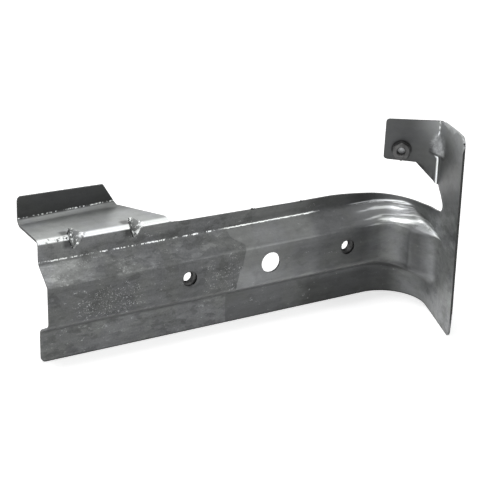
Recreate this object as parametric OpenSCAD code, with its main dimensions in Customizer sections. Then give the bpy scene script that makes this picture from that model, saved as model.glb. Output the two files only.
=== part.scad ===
// Clutch pedal bracket: one folded steel sheet with three hexagon weld nuts.
// Everything is laid out from the lower left corner of the front face of the lower flange,
// with x along the channel, y to the rear and z up, and is then moved so that the origin
// is the centre of the large plain hole in the front face of the web.
// The front face of the sheet is drawn, and the thickness lies behind it.

/* [Sheet] */

// Thickness of the sheet
sheet_t = 1.5; // [1.3:0.1:1.7]
// Radius of the channel bends on the front face
bend_r = 4.4; // [4:0.1:5]
// Flat steps along each channel bend
bend_steps = 4; // [3:1:6]

/* [Channel] */

// Length of the straight run of the channel
straight_len = 241.2; // [236:0.2:246]
// How far the bead stands in front of the flanges
bead_depth = 14.3; // [13:0.1:15]
// Height of the lower flange up to its bend
foot_z = 21; // [20:0.5:23]
// Height of the lower edge of the web
web_low_z = 29; // [28:0.5:31]
// Height of the upper edge of the web
web_top_z = 56.6; // [55:0.1:58]
// Height of the bend between the upper slope and the upper flange
flange_z = 67.2; // [66.5:0.1:68]
// Height of the free edge of the upper flange on the straight run
edge_z = 76.8; // [76.2:0.1:77.6]
// Radius of the lower left corner
corner_r = 3; // [1:0.5:5]

/* [Holes] */

// Distance of the large plain hole from the left end
hole_x = 157.5; // [150:0.5:162]
// Height of the row of holes
hole_z = 43.9; // [42.5:0.1:45]
// Diameter of the large plain hole
hole_d = 14; // [12:0.5:16]
// Distance of each small hole from the large one
hole_pitch = 60; // [57:0.5:61]
// Diameter of the small holes in front of the weld nuts
pilot_d = 10.5; // [9.5:0.5:12]

/* [Curve and end plate] */

// Radius of the curve on the front face of the flanges
curve_r = 28.6; // [27.6:0.1:30.6]
// Angle through which the channel turns into the end plate
curve_angle = 109; // [105:1:110]
// How far the free edge dips on the curve
edge_dip = 7; // [5:0.5:8]
// Length over which the bead runs out into the plate
bead_fade = 21; // [19:0.5:22]
// Width of the plate from the end of the curve to its front edge
plate_w = 52.3; // [49.3:0.1:57.3]
// Height of the plate
plate_h = 137.8; // [133.8:0.5:143.8]
// Radius of the upper corner of the plate
plate_top_r = 5; // [3:0.5:7]
// Radius of the lower corner of the plate
plate_low_r = 3; // [2:0.5:5]

/* [Tab] */

// Distance of the tab fold from the end of the curve
tab_fold_u = 6.4; // [6:0.1:7]
// Direction of the tab, as its turn from the channel
tab_turn = 36; // [30:1:42]
// Length of the tab from its fold
tab_len = 36.5; // [35.1:0.2:40.1]
// Height of the tab, from its lower edge to its top
tab_h = 28.2; // [27.6:0.1:29]
// Inside radius of the tab fold
tab_r = 2; // [1.5:0.1:2.4]
// Radius of the corners of the tab
tab_corner_r = 2.2; // [1:0.1:3]

/* [Shelf and lip] */

// Height of the top face of the shelf
shelf_z = 81.7; // [81.2:0.1:82.4]
// Radius of the front bend of the shelf on its outside
shelf_front_r = 3.5; // [3:0.1:4]
// Radius of the rear bend of the shelf on its inside
shelf_rear_r = 4; // [3:0.1:5]
// Distance of the lip behind the flanges at the left end
lip_y = 33.3; // [31:0.1:35]
// Height of the top edge of the lip at its left end
lip_z = 99.8; // [97:0.1:104]
// How far that edge falls from left to right
lip_fall = 2.3; // [0:0.1:3]
// Angle by which the lip stands skew to the channel
lip_skew = 3; // [2:0.5:4]
// Angle by which the lip leans to the front
lip_lean = 3; // [1:0.5:5]
// Distance of the upper right corner of the lip from the left end
lip_len = 60.4; // [57.6:0.2:63.6]

/* [Dents] */

// Distance of the left shelf dent from the left end
dent_left_x = 24.6; // [23:0.2:27]
// Distance of the right shelf dent from the left end
dent_right_x = 66; // [64:0.2:67]
// Half of the width of a shelf dent at the bend
dent_half = 6; // [5:0.1:6.4]
// Length of a shelf dent on the shelf
dent_back = 13; // [11:0.5:15]
// Height of a shelf dent on the flange
dent_down = 8.6; // [7.5:0.1:9.5]
// Height of the upper tip of the dart in the tab fold
dart_top_z = 126; // [124:0.5:127]
// Height of the base of the dart in the tab fold
dart_low_z = 113.5; // [113:0.1:114.5]
// Reach of the dart on the tab
dart_tab = 7.6; // [7:0.1:8.2]
// Reach of the dart on the plate
dart_plate = 11.6; // [10:0.2:12.6]

/* [Weld nuts] */

// Width across flats of the nuts behind the web
web_nut_af = 14; // [13:0.5:15]
// Height of the nuts behind the web
web_nut_h = 5; // [4:0.1:6.5]
// Diameter of the threaded bore behind the web
web_nut_bore = 6.9; // [6.4:0.1:8]
// Width across flats of the nut on the tab
tab_nut_af = 11; // [10:0.2:11.2]
// Height of the nut on the tab
tab_nut_h = 5; // [4:0.1:6]
// Diameter of the threaded bore of the nut on the tab
tab_nut_bore = 5.2; // [4.8:0.1:6]
// Distance of the nut on the tab from the tab fold
tab_nut_v = 24.9; // [23.5:0.1:26]

/* [Hidden] */

$fn = 64;
over = 1; // cutters stand out by this much
tiny = 0.01; // step for slopes that are taken by differences

sheet_colour = [0.36, 0.36, 0.37];
nut_colour = [0.30, 0.30, 0.31];

// End of the curve on the front face, and the lengths along the sheet
curve_len = curve_r * curve_angle * PI / 180;
plate_s = straight_len + curve_len;
curve_end = [straight_len + curve_r * sin(curve_angle), -curve_r + curve_r * cos(curve_angle)];

// The swept part starts after the last hole and ends where the bead has run out
sweep_start = 226;
notch_u = 16.9; // where the free edge meets the notch
sweep_end_u = 28;
curve_steps = 24;
fade_steps = 12;
end_steps = 3;
plate_start_u = notch_u + 0.3; // above this height the flat plate starts further back
plate_start_z = 70;
edge_fall_s = straight_len - 34; // the free edge starts to fall here
edge_fall_len = 78;
edge_rise_s = plate_s - 15.5; // and starts to rise here
edge_rise = 5.5;
edge_rise_power = 1.6;
notch_z = edge_z - edge_dip + edge_rise;
slope_drop = web_low_z - foot_z;

// Changes of the heights of the channel on the curve: how much, from where and over which length
flange_drop = 9.7;
flange_drop_s = plate_s - 30;
flange_drop_len = 23.5;
web_top_drop = 1.6;
web_top_drop_len = 36;
web_top_rise = 2;
web_top_rise_s = plate_s - 25;
web_top_rise_len = 22;
web_low_drop = 3;
web_low_drop_s = straight_len - 6;
web_low_drop_len = 43;
web_low_rise = 2.8;
web_low_rise_s = plate_s - 5;
web_low_rise_len = 25;
foot_flatten = 0.6;

// Run-out of the bead and its end, which is tucked just under the faces of the plate
fade_top_extra = 4; // the upper side of the bead runs out this much later
fade_early = 5; // the run-out starts this much before the end of the curve
fade_power = 3;
fade_start = 2;
tuck_in = 0.02;
tuck_s = plate_s + 10;
tuck_len = 6;
lap = 0.8; // pieces of one sheet overlap by this much where they meet

// The left end is cut a little out of square
end_low_x = 0.3;
end_high_x = 0.7;
end_reach = 12;

// Edge of the flange beside the shelf
shelf_end_x = 89.4;
shelf_spare = 10; // drawn this much longer, then cut to its end
step_end_x = 97;
step_foot_x = 0.9;
step_foot_h = 1.2;
step_toe_x = 3;
step_toe_h = 0.4;
strip_start_len = 4;
strip_start_h = 0.2;
strip_mid_x = 138;
strip_end_x = 180;
shelf_low_z = shelf_z - shelf_front_r;
shelf_back_x = 71.3;
shelf_back_y = 36.3;
shelf_front_y = 6;
lip_slope = 0.61;

// Notch between the channel and the tab, on the plate
fold_low_z = 91.2;
notch_top_u = 10.4;
notch_top_z = 89.4;
notch_mid_u = 15.4;
notch_mid_z = 86.4;
notch_side_u = 20.4;
notch_side_z = 81.6;
notch_low_z = 78.8;
notch_r = 2.5;
notch_steps = 4;

// Plate and tab outline
plate_low_in = 2; // the front edge stands back by this much at its foot
plate_taper_z = 17;
plate_top_in = 0.4;
plate_bow_u = 38; // the top edge rises from the fold up to here
plate_bow_in = 0.2;
plate_fall = 3.2; // the top edge is this much lower at the fold
plate_step = 1.1; // and rises by this much right behind the fold
plate_step_len = 3.6;
tab_fall = 0.5; // it falls again towards the tip of the tab
tab_low_z = plate_h - plate_fall - tab_h;
tab_low_rise = 0.4; // the lower edge rises by this much towards the tip
tab_tip_in = 0.6; // the tip stands back by this much at its top
tab_slope_v = 15; // start of the slope under the tab
tab_slope_drop = 0.9;
tab_foot_v = 1.4;
tab_foot_h = 2;
fold_steps = 8;
fold_tail = 2;

fold_angle = curve_angle - tab_turn;
fold_reach = tab_r * tan(fold_angle / 2);
plate_dir = [cos(curve_angle), -sin(curve_angle)];
fold_point = curve_end + tab_fold_u * plate_dir;
tab_dir = [-cos(tab_turn), sin(tab_turn)];
tab_nut_z = tab_low_z + tab_h / 4;

// Dents and darts
lip_turn = 90 + lip_lean;
dent_lean = 2; // the rear point of a shelf dent stands this much to the right
dent_shift = 1; // and its right side is longer than its left by twice this
dent_wall = 0.8 * sheet_t;
dent_power = 0.9;
dart_foot = 3; // the dart in the tab fold ends this much below its base
dart_wall = sheet_t + 0.5;
dart_lift = 0.2; // its hollow is raised by this share of its wall, which keeps its foot thick
dart_sink = 0.1;
dart_power = 1.5;
dart_steps = 5;

// Helpers

function unit(v) = v / norm(v);
function clamp01(t) = min(1, max(0, t));
function smooth(t) = let (c = clamp01(t)) c * c * (3 - 2 * c);
function turned(v, a) = [v[0] * cos(a) - v[1] * sin(a), v[0] * sin(a) + v[1] * cos(a)];
function bend_angle(d, e) = atan2(d[0] * e[1] - d[1] * e[0], d[0] * e[0] + d[1] * e[1]);

// Point t of 0 to 1 of a rounded corner b between a and c: place and direction of travel
function bend_point(a, b, c, r, t) =
    let (d = unit(b - a))
    let (e = unit(c - b))
    let (turn = bend_angle(d, e))
    let (side = sign(turn))
    let (left = [-d[1], d[0]])
    let (centre = b - d * r * tan(abs(turn) / 2) + left * side * r)
    let (p = centre - side * r * turned(left, turn * t))
    let (q = turned(d, turn * t))
    [p[0], p[1], q[0], q[1]];

// Heights of the channel at the length s along the sheet
function edge_at(s) =
    edge_z
    - edge_dip * smooth((s - edge_fall_s) / edge_fall_len)
    + edge_rise * pow(clamp01((s - edge_rise_s) / (plate_s + notch_u - edge_rise_s)), edge_rise_power);
function run_out(s) = clamp01((s - plate_s) / bead_fade);
function flange_at(s) = flange_z - flange_drop * smooth((s - flange_drop_s) / flange_drop_len);
function web_top_at(s) =
    web_top_z
    - web_top_drop * smooth((s - sweep_start) / web_top_drop_len)
    + web_top_rise * smooth((s - web_top_rise_s) / web_top_rise_len);
function web_low_at(s) =
    web_low_z
    - web_low_drop * smooth((s - web_low_drop_s) / web_low_drop_len)
    + web_low_rise * smooth((s - web_low_rise_s) / web_low_rise_len);
function foot_at(s) = web_low_at(s) - slope_drop * (1 - foot_flatten * run_out(s));

function tuck(s) = tuck_in * smooth((s - tuck_s) / tuck_len);

// The share of its depth that the bead still has
function fade(s, z) =
    let (more = fade_top_extra * clamp01((z - web_low_z) / (web_top_z - web_low_z)))
    let (reach = bead_fade + fade_early + more)
    pow(1 - pow(clamp01((s - plate_s + fade_early) / reach), fade_start), fade_power);

// The channel as seen from its end, corners first and then all points of the front face
function corners(s) = [
    [0, 0],
    [0, foot_at(s)],
    [-bead_depth, web_low_at(s)],
    [-bead_depth, web_top_at(s)],
    [0, flange_at(s)],
    [0, edge_at(s)]
];
function section(s) =
    let (c = corners(s))
    [
        [0, tuck(s), 0, 1],
        for (i = [1 : 4])
            for (j = [0 : bend_steps])
                bend_point(c[i - 1], c[i], c[i + 1], bend_r, j / bend_steps),
        [0, c[5][1] - tuck(s), 0, 1]
    ];

// The same with the bead faded: y, z and the direction of travel
function faded(s) = [
    for (p = section(s))
        let (f = fade(s, p[1]))
        let (g = (fade(s, p[1] + tiny) - fade(s, p[1] - tiny)) / (2 * tiny))
        [p[0] * f, p[1], p[2] * f + p[0] * g * p[3], p[3]]
];

// Places a point of the section on the straight run, on the curve or on the plate
function turn_at(s) = min(curve_angle, max(0, (s - straight_len) / curve_r * 180 / PI));
function base_at(s) =
    let (a = turn_at(s))
    s < straight_len ? [s, 0] :
    s < plate_s ? [straight_len + curve_r * sin(a), curve_r * cos(a) - curve_r] :
    curve_end + (s - plate_s) * plate_dir;
function placed(s, y, z) =
    let (a = turn_at(s))
    let (b = base_at(s))
    [b[0] + y * sin(a), b[1] + y * cos(a), z];

function front_row(s) = [for (p = faded(s)) placed(s, p[0] + tuck(s), p[1])];
function back_row(s) =
    let (rows = faded(s))
    let (before = front_row(s - tiny))
    let (after = front_row(s + tiny))
    let (a = turn_at(s))
    [
        for (k = [0 : len(rows) - 1])
            let (p = rows[k])
            let (up = [p[2] * sin(a), p[2] * cos(a), p[3]])
            placed(s, p[0] + tuck(s), p[1])
            + (sheet_t - 2 * tuck(s)) * unit(cross(up, after[k] - before[k]))
    ];

module place() {
    translate([-hole_x, bead_depth, -hole_z])
        children();
}

// A flat piece of sheet: drawn in x along the sheet and z, with its front face on the path
module panel(at, turn) {
    translate([at[0], at[1], 0])
        rotate([0, 0, -turn])
            rotate([90, 0, 0])
                translate([0, 0, -sheet_t])
                    linear_extrude(sheet_t)
                        children();
}

// Swept part: the end of the straight run, the curve and the run-out of the bead

// Lengths at which the section is taken
sweep_s = concat(
    [for (i = [0 : end_steps - 1]) sweep_start + (straight_len - sweep_start) * i / end_steps],
    [for (i = [0 : curve_steps - 1]) straight_len + curve_len * i / curve_steps],
    [for (i = [0 : fade_steps]) plate_s + notch_u * i / fade_steps],
    [for (i = [1 : end_steps]) plate_s + notch_u + (sweep_end_u - notch_u) * i / end_steps]
);

module swept_channel() {
    rows = len(sweep_s);
    cols = 2 + 4 * (bend_steps + 1);
    back = rows * cols;
    fronts = [for (s = sweep_s) each front_row(s)];
    backs = [for (s = sweep_s) each back_row(s)];
    skins = [
        for (i = [0 : rows - 2])
            for (k = [0 : cols - 2])
                let (a = i * cols + k)
                let (b = a + cols)
                each [
                    [a, a + 1, b + 1],
                    [a, b + 1, b],
                    [back + a, back + b + 1, back + a + 1],
                    [back + a, back + b, back + b + 1]
                ]
    ];
    edges = [
        for (i = [0 : rows - 2])
            let (a = i * cols)
            let (b = a + cols)
            let (c = a + cols - 1)
            let (d = c + cols)
            each [
                [a, b, back + b],
                [a, back + b, back + a],
                [c, back + d, d],
                [c, back + c, back + d]
            ]
    ];
    ends = [
        for (k = [0 : cols - 2])
            let (a = (rows - 1) * cols + k)
            each [
                [k, back + k + 1, k + 1],
                [k, back + k, back + k + 1],
                [a, a + 1, back + a + 1],
                [a, back + a + 1, back + a]
            ]
    ];
    polyhedron(points = concat(fronts, backs), faces = concat(skins, edges, ends), convexity = 6);
}

// Straight channel: the section drawn once and pushed along x, with the free edge cut to its line
module straight_channel() {
    rows = section(0);
    front = [for (p = rows) [p[0], min(p[1], edge_z)]];
    back = [
        for (k = [len(rows) - 1 : -1 : 0])
            front[k] + sheet_t * [rows[k][3], -rows[k][2]]
    ];
    difference() {
        rotate([90, 0, 90])
            linear_extrude(sweep_start)
                polygon(concat(front, back));
        edge_fall_cut();
        lower_corner_cut();
    }
}

// Takes the free edge down to where the swept part starts
module edge_fall_cut() {
    top = edge_z + over;
    line = [for (i = [0 : 4]) edge_fall_s + (sweep_start - edge_fall_s) * i / 4];
    points = concat(
        [for (s = line) [s, edge_at(s)]],
        [[sweep_start + over, edge_at(sweep_start)], [sweep_start + over, top], [edge_fall_s, top]]
    );
    translate([0, sheet_t + over, 0])
        rotate([90, 0, 0])
            linear_extrude(sheet_t + 2 * over)
                polygon(points);
}

module lower_corner_cut() {
    translate([0, sheet_t + over, 0])
        rotate([90, 0, 0])
            linear_extrude(sheet_t + 2 * over)
                rounded_corner([end_low_x, 0], corner_r, 0);
}

// Cuts the left end to its line, through the channel, the shelf and the lip
function left_end(z) = end_low_x + (end_high_x - end_low_x) * z / lip_z;
module left_end_cut() {
    translate([0, lip_y + end_reach, 0])
        rotate([90, 0, 0])
            linear_extrude(lip_y + bead_depth + 2 * end_reach)
                polygon([
                    [-end_reach, -over],
                    [left_end(-over), -over],
                    [left_end(lip_z + 2 * over), lip_z + 2 * over],
                    [-end_reach, lip_z + 2 * over]
                ]);
}

// Strip between the channel and the shelf, as high as the foot of the front bend
module flange_strip() {
    slope = [
        [0, edge_z],
        [strip_end_x, edge_z],
        [strip_mid_x, (edge_z + shelf_low_z) / 2],
        [step_end_x + strip_start_len, shelf_low_z - strip_start_h],
        [step_end_x, shelf_low_z],
        [0, shelf_low_z]
    ];
    panel([0, 0], 0)
        polygon(slope);
}

// Shelf with its two bends and the lip

module front_bend() {
    centre_z = shelf_z - shelf_front_r;
    difference() {
        rotate([90, 0, 90])
            linear_extrude(step_end_x)
                translate([shelf_front_r, centre_z])
                    intersection() {
                        difference() {
                            circle(shelf_front_r);
                            circle(shelf_front_r - sheet_t);
                        }
                        translate([-shelf_front_r, 0])
                            square(shelf_front_r);
                    }
        translate([0, shelf_front_r + over, 0])
            rotate([90, 0, 0])
                linear_extrude(shelf_front_r + 2 * over)
                    polygon([
                        [shelf_end_x, shelf_z + over],
                        [shelf_end_x, shelf_z - step_foot_h],
                        [shelf_end_x + step_foot_x, shelf_low_z + step_foot_h],
                        [shelf_end_x + step_toe_x, shelf_low_z + step_toe_h],
                        [step_end_x + over, shelf_low_z - tiny],
                        [step_end_x + over, shelf_z + over]
                    ]);
    }
}

module shelf_plate() {
    rear = lip_y - (shelf_rear_r + lap / 2) / cos(lip_skew);
    reach = shelf_end_x + shelf_spare;
    translate([0, 0, shelf_z - sheet_t])
        linear_extrude(sheet_t)
            polygon([
                [0, shelf_front_r],
                [reach, shelf_front_r],
                [reach, rear + reach * tan(lip_skew)],
                [0, rear]
            ]);
}

// Rear bend and lip in one outline, pushed along their own line and turned by the skew
module rear_bend_and_lip() {
    run = shelf_end_x + shelf_spare;
    lip_h = (lip_z + over - shelf_z - shelf_rear_r) / cos(lip_lean);
    rise = lip_h * [-sin(lip_lean), cos(lip_lean)];
    inner = [for (i = [0 : fold_steps]) arc_point(shelf_rear_r, i)];
    outer = [for (i = [fold_steps : -1 : 0]) arc_point(shelf_rear_r + sheet_t, i)];
    translate([0, lip_y, shelf_z + shelf_rear_r])
        rotate([0, 0, lip_skew])
            translate([-over, -shelf_rear_r, 0])
                rotate([90, 0, 90])
                    linear_extrude(run)
                        polygon(concat(
                            [[-lap, -shelf_rear_r - tuck_in]],
                            inner,
                            [inner[fold_steps] + rise, outer[0] + rise],
                            outer,
                            [[-lap, tuck_in - shelf_rear_r - sheet_t]]
                        ));
}

function arc_point(r, i) = turned([0, -r], lip_turn * i / fold_steps);

// Right end of the shelf and of the lip, and the rounded upper left corner of the lip
module shelf_trim() {
    translate([0, 0, shelf_z - sheet_t - over])
        linear_extrude(lip_z)
            polygon([
                [shelf_end_x, -over],
                [shelf_end_x, shelf_front_y],
                [shelf_back_x, shelf_back_y],
                [shelf_back_x - lip_slope * shelf_spare, shelf_back_y + shelf_spare],
                [shelf_end_x + 2 * shelf_spare, shelf_back_y + shelf_spare],
                [shelf_end_x + 2 * shelf_spare, -over]
            ]);
}

module lip_trim() {
    right_z = lip_z - lip_fall;
    foot_x = lip_len + lip_slope * (right_z - shelf_z);
    far_x = shelf_end_x + 2 * shelf_spare;
    translate([0, lip_y + end_reach, 0])
        rotate([90, 0, 0])
            linear_extrude(end_reach + shelf_spare) {
                polygon([
                    [foot_x, shelf_z],
                    [lip_len, right_z],
                    [0, lip_z],
                    [-end_reach, lip_z],
                    [-end_reach, lip_z + 2 * over],
                    [far_x, lip_z + 2 * over],
                    [far_x, shelf_z]
                ]);
                rounded_corner([end_high_x, lip_z], corner_r, 270);
            }
}

module shelf() {
    difference() {
        union() {
            shelf_plate();
            rear_bend_and_lip();
        }
        shelf_trim();
        lip_trim();
    }
    front_bend();
}

// A dart across a fold: like triangles, which shrink from its middle to its two ends
module dart(middle, ends, reach, power) {
    last = 6 * dart_steps - 2;
    rows = [
        for (i = [1 - dart_steps : dart_steps - 1])
            let (w = i / dart_steps)
            let (k = 1 - pow(abs(w), power))
            for (r = reach)
                middle + abs(w) * (i < 0 ? ends[0] : ends[1]) + k * r
    ];
    points = concat([middle + ends[0]], rows, [middle + ends[1]]);
    sides = [
        for (i = [0 : 2 * dart_steps - 3])
            for (c = [0 : 2])
                let (a = 1 + 3 * i + c)
                let (b = 1 + 3 * i + (c + 1) % 3)
                [b, b + 3, a + 3, a]
    ];
    caps = [
        for (c = [0 : 2])
            let (d = (c + 1) % 3)
            each [
                [0, 1 + d, 1 + c],
                [last - 3 + d, last, last - 3 + c]
            ]
    ];
    polyhedron(points = points, faces = concat(sides, caps), convexity = 4);
}

// Dent across the front bend of the shelf
module dent(x, push) {
    dart(
        [x, push, shelf_z - push],
        [[dent_shift - dent_half, 0, 0], [dent_shift + dent_half, 0, 0]],
        [[0, -over, over], [dent_lean, dent_back, 0], [-dent_lean / 2, 0, -dent_down]],
        dent_power
    );
}

// Plate, tab and the fold between them

module rounded_corner(at, r, quarter) {
    translate(at)
        rotate(quarter)
            difference() {
                translate([-over, -over])
                    square(r + over);
                translate([r, r])
                    circle(r);
            }
}

module end_plate() {
    fold_end_u = tab_fold_u + fold_reach + lap;
    notch = [
        [fold_end_u, fold_low_z],
        [notch_top_u, notch_top_z],
        [notch_mid_u, notch_mid_z],
        [notch_side_u, notch_side_z],
        [notch_side_u, notch_low_z],
        [plate_start_u, notch_z]
    ];
    rounded_notch = [
        for (i = [2 : 4])
            for (j = [0 : notch_steps])
                let (p = bend_point(notch[i - 1], notch[i], notch[i + 1], notch_r, j / notch_steps))
                [p[0], p[1]]
    ];
    panel(curve_end, curve_angle)
        difference() {
            polygon(concat(
                [
                    [sweep_end_u - 2 * over, 0],
                    [plate_w - plate_low_in, 0],
                    [plate_w, plate_taper_z],
                    [plate_w, plate_h - 2 * plate_top_r],
                    [plate_w - plate_top_in, plate_h],
                    [plate_bow_u, plate_h - plate_bow_in],
                    [fold_end_u + plate_step_len, plate_h - plate_fall + plate_step],
                    [fold_end_u, plate_h - plate_fall],
                    notch[0],
                    notch[1]
                ],
                rounded_notch,
                [
                    notch[5],
                    [plate_start_u, plate_start_z],
                    [sweep_end_u - 2 * over, plate_start_z]
                ]
            ));
            rounded_corner([plate_w - plate_top_in, plate_h], plate_top_r, 180);
            rounded_corner([plate_w - plate_low_in, 0], plate_low_r, 90);
        }
}

// Strip with the fold: tab, fold and the first bit of the plate in one outline seen from above,
// with x along the plate and y away from its front face
module folded_strip() {
    tip = tab_len - fold_reach;
    centre = [tab_fold_u + fold_reach, -tab_r];
    side = turned([-1, 0], fold_angle);
    front_start = centre + turned([0, tab_r], fold_angle);
    back_start = centre + turned([0, tab_r + sheet_t], fold_angle);
    points = concat(
        [front_start + tip * side],
        [for (i = [0 : fold_steps]) centre + turned([0, tab_r], fold_angle * (1 - i / fold_steps))],
        [centre + [fold_tail, tab_r], centre + [fold_tail, tab_r + sheet_t]],
        [for (i = [0 : fold_steps]) centre + turned([0, tab_r + sheet_t], fold_angle * i / fold_steps)],
        [back_start + tip * side]
    );
    difference() {
        translate([curve_end[0], curve_end[1], fold_low_z])
            rotate([0, 0, -curve_angle])
                linear_extrude(plate_h - plate_fall - fold_low_z)
                    polygon(points);
        tab_cut();
    }
}

// Everything outside the outline of the tab
module tab_cut() {
    top_z = plate_h - plate_fall;
    tip_z = top_z - tab_fall;
    tip = tab_len - fold_reach;
    start = fold_point + fold_reach * tab_dir;
    translate([start[0], start[1], 0])
        rotate([0, 0, -tab_turn])
            translate([0, sheet_t + over, 0])
                rotate([90, 0, 0])
                    linear_extrude(sheet_t + 2 * over) {
                        polygon([
                            [0, fold_low_z - over],
                            [0, fold_low_z],
                            [-tab_foot_v, fold_low_z + tab_foot_h],
                            [fold_reach - tab_slope_v, tab_low_z - tab_slope_drop],
                            [-tip - over, tab_low_z + tab_low_rise],
                            [-tip - over, fold_low_z - over]
                        ]);
                        polygon([
                            [0, top_z],
                            [-tip - over, tip_z],
                            [-tip - over, top_z + over],
                            [0, top_z + over]
                        ]);
                        polygon([
                            [-tip, tab_low_z],
                            [-tip + tab_tip_in, tip_z + over],
                            [-tip - over, tip_z + over],
                            [-tip - over, tab_low_z]
                        ]);
                        rounded_corner([-tip + tab_tip_in, tip_z], tab_corner_r, 270);
                        rounded_corner([-tip, tab_low_z + tab_low_rise], tab_corner_r, 0);
                    }
}

// Raised dart in the tab fold, pushed out of the sheet from behind
module fold_dart(push) {
    away = unit([sin(tab_turn) + sin(curve_angle), cos(tab_turn) + cos(curve_angle), 0]);
    dart(
        [fold_point[0], fold_point[1], dart_low_z + dart_lift * push] + push * away,
        [[0, 0, -dart_foot], [0, 0, dart_top_z - dart_low_z]],
        [over * away, dart_plate * [plate_dir[0], plate_dir[1], 0], dart_tab * [tab_dir[0], tab_dir[1], 0]],
        dart_power
    );
}

module web_hole(x, d) {
    translate([x, sheet_t - bead_depth + over, hole_z])
        rotate([90, 0, 0])
            cylinder(h = sheet_t + 2 * over, d = d);
}

module bracket() {
    color(sheet_colour)
        place()
            difference() {
                union() {
                    straight_channel();
                    flange_strip();
                    shelf();
                    swept_channel();
                    end_plate();
                    folded_strip();
                    dent(dent_left_x, dent_wall);
                    dent(dent_right_x, dent_wall);
                    fold_dart(dart_sink);
                }
                left_end_cut();
                dent(dent_left_x, 0);
                dent(dent_right_x, 0);
                fold_dart(dart_wall);
                web_hole(hole_x, hole_d);
                web_hole(hole_x - hole_pitch, pilot_d);
                web_hole(hole_x + hole_pitch, pilot_d);
            }
}

// Weld nuts: a hexagon with a bevelled face and a threaded bore, lying on the sheet
module weld_nut(af, h, bore) {
    corner_d = af / cos(30);
    bevel = 0.6;
    difference() {
        intersection() {
            cylinder(h = h, d = corner_d, $fn = 6);
            union() {
                cylinder(h = h - bevel, d = corner_d + over);
                translate([0, 0, h - bevel])
                    cylinder(h = bevel, d1 = corner_d, d2 = af - 0.4);
            }
        }
        translate([0, 0, -over])
            cylinder(h = h + 2 * over, d = bore);
        translate([0, 0, h - bevel])
            cylinder(h = bevel + tiny, d1 = bore, d2 = bore + 2 * bevel);
    }
}

module web_nut(x) {
    color(nut_colour)
        place()
            translate([x, sheet_t - bead_depth, hole_z])
                rotate([-90, 0, 0])
                    weld_nut(web_nut_af, web_nut_h, web_nut_bore);
}

module web_nut_left() {
    web_nut(hole_x - hole_pitch);
}

module web_nut_right() {
    web_nut(hole_x + hole_pitch);
}

module tab_nut() {
    at = fold_point + tab_nut_v * tab_dir;
    color(nut_colour)
        place()
            translate([at[0], at[1], tab_nut_z])
                rotate([0, 0, -tab_turn])
                    rotate([90, 0, 0])
                        rotate([0, 0, 90])
                            weld_nut(tab_nut_af, tab_nut_h, tab_nut_bore);
}

bracket();
web_nut_left();
web_nut_right();
tab_nut();
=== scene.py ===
import math
import random
import bpy
import bmesh
from mathutils import Matrix, Vector


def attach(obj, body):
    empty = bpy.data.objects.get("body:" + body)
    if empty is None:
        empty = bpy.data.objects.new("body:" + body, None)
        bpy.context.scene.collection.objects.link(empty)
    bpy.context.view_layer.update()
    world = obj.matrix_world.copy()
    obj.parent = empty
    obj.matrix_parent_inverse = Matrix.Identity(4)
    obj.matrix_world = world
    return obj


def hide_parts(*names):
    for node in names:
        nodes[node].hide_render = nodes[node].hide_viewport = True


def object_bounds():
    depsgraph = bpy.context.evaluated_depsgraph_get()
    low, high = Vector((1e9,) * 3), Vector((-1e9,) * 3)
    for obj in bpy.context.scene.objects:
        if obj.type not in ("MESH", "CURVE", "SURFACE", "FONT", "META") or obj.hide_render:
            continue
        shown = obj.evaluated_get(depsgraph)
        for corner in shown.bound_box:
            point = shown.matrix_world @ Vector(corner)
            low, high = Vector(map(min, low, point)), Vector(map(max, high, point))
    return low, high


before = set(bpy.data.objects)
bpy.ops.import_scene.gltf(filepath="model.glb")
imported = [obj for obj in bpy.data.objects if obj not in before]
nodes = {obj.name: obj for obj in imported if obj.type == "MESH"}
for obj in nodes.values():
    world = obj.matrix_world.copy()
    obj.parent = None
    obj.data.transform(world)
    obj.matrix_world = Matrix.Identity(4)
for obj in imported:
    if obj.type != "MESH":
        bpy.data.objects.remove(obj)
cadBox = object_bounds()
floorZ = cadBox[0][2]
print("stage: frame loaded")

# The picture's camera, in metres and degrees
cameraSettings = {
    "place": (-0.467653, -0.780183, 0.386066),
    "turn": (67.7948, -1.1494, -29.1993),
    "lens": 112.71,
    "sensor": 36.0,
    "shift": (-0.0017, 0.0015),
    "clipStart": 0.01,
}

def makeCamera(p):
    data = bpy.data.cameras.new("camera")
    data.lens = p["lens"]
    data.sensor_width = p["sensor"]
    data.sensor_fit = "HORIZONTAL"
    data.shift_x, data.shift_y = p["shift"]
    data.clip_start = p["clipStart"]
    cam = bpy.data.objects.new("camera", data)
    cam.location = p["place"]
    cam.rotation_euler = [math.radians(v) for v in p["turn"]]
    bpy.context.scene.collection.objects.link(cam)
    bpy.context.scene.camera = cam

makeCamera(cameraSettings)
bpy.context.scene.view_settings.view_transform = "Standard"

# Studio: a white surround, a pale floor and three soft lamps
studio = {
    "surround": 0.40,
    "topPlace": (-0.26, 0.14, 1.25),
    "topPower": 6.5,
    "topSize": 0.7,
    "frontPlace": (-1.0, -1.0, 0.7),
    "frontPower": 2.2,
    "frontSize": 0.9,
    "sidePlace": (0.72, -1.22, 0.70),
    "sidePower": 2.2,
    "sideSize": 0.3,
    "floorSize": 8.0,
    "floorGap": 0.0002,
    "floorTone": 0.9,
    "floorRough": 0.9,
    "floorGlow": 0.62,
}

def newNode(nt, kind, **settings):
    node = nt.nodes.new(kind)
    for key, value in settings.items():
        setattr(node, key, value)
    return node

def setInput(nt, node, index, value):
    if isinstance(value, bpy.types.NodeSocket):
        nt.links.new(value, node.inputs[index])
    else:
        node.inputs[index].default_value = value

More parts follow.
